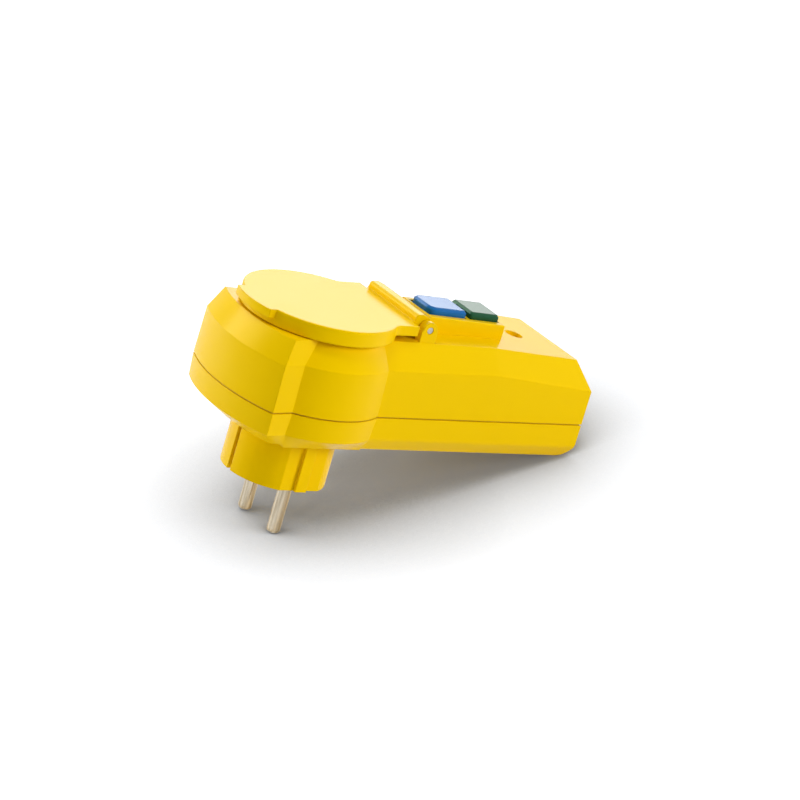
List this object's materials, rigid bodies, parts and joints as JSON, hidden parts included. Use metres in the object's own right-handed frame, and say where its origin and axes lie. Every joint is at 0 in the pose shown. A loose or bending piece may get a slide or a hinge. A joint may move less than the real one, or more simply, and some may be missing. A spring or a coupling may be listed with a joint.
{
  "type": "rcd adapter plug",
  "caption": "Angled plug-in adapter with a sprung flap over its socket, a hollow tail that holds a residual current breaker, and two push buttons.",
  "frame": {"origin": "centre of the plug's engagement face, midway between its two pins", "axes": "+Z out of the socket towards the lid, against the way the pins point; +X along the tail towards the buttons; Y along the row of the two pins"},
  "size_m": [0.1392, 0.0618, 0.0852],
  "materials": {
    "yellow_plastic": "glossy moulded plastic",
    "blue_plastic": "glossy moulded plastic",
    "green_plastic": "glossy moulded plastic",
    "grey_plastic": "matte moulded plastic",
    "black_plastic": "matte moulded plastic",
    "nickel_plate": "nickel-plated brass",
    "steel": "plain steel",
    "brass": "plain brass",
    "ferrite": "sintered core",
    "rubber": "soft rubber",
    "board": "glass-fibre laminate",
    "winding": "taped enamelled wire",
    "brown_insulation": "wire insulation",
    "blue_insulation": "wire insulation",
    "component_blue": "dipped epoxy"
  },
  "bodies": {
    "housing": {"upper_shell": "yellow_plastic", "lower_shell": "yellow_plastic", "shell_seal": "rubber", "housing_screws": "steel", "lid_hinge_pin": "steel", "lid_spring": "steel", "live_pin": "nickel_plate", "neutral_pin": "nickel_plate", "pin_carrier": "black_plastic", "plug_earth_strip": "nickel_plate", "earth_post": "brass", "socket_cup": "yellow_plastic", "socket_earth_clip": "nickel_plate", "live_socket_contact": "brass", "neutral_socket_contact": "brass", "line_contacts": "brass", "circuit_board": "board", "board_screws": "steel", "transformer_case": "black_plastic", "transformer_core": "ferrite", "live_wire": "brown_insulation", "neutral_wire": "blue_insulation", "button_guide": "grey_plastic", "test_spring": "steel", "reset_spring": "steel", "test_posts": "brass", "contact_spring": "steel", "relay_frame": "steel", "relay_bobbin": "black_plastic", "relay_coil": "winding", "varistor": "component_blue", "smoothing_capacitor": "black_plastic", "control_chip": "black_plastic", "test_resistor": "component_blue"},
    "lid": {"lid": "yellow_plastic", "lid_gasket": "rubber"},
    "test_button": {"test_button": "blue_plastic", "test_bridge": "brass"},
    "reset_button": {"reset_button": "green_plastic"},
    "contacts": {"contact_carrier": "grey_plastic", "bridge_contacts": "brass", "relay_plunger": "steel"}
  },
  "joints": [
    {"name": "lid_hinge", "type": "hinge", "parent": "housing", "child": "lid", "pos_m": [0.0348, 0, 0.0618], "axis": [0, 1, 0], "range_deg": [0, 105], "stiffness_Nm_per_rad": 0.02, "springref_deg": -34.38, "deforming": ["lid_spring"]},
    {"name": "test_press", "type": "slide", "parent": "housing", "child": "test_button", "axis": [0, 0, -1], "range_m": [0, 0.0018], "stiffness_N_per_m": 900, "springref_m": -0.001, "deforming": ["test_spring"]},
    {"name": "reset_press", "type": "slide", "parent": "housing", "child": "reset_button", "axis": [0, 0, -1], "range_m": [0, 0.0018], "stiffness_N_per_m": 900, "springref_m": -0.001, "deforming": ["reset_spring"]},
    {"name": "contact_travel", "type": "slide", "parent": "housing", "child": "contacts", "axis": [0, 0, -1], "range_m": [0, 0.0018], "stiffness_N_per_m": 600, "springref_m": -0.001, "deforming": ["contact_spring"]}
  ],
  "couplings": [
    {"joint": "contact_travel", "follows": "reset_press", "ratio": 1}
  ]
}
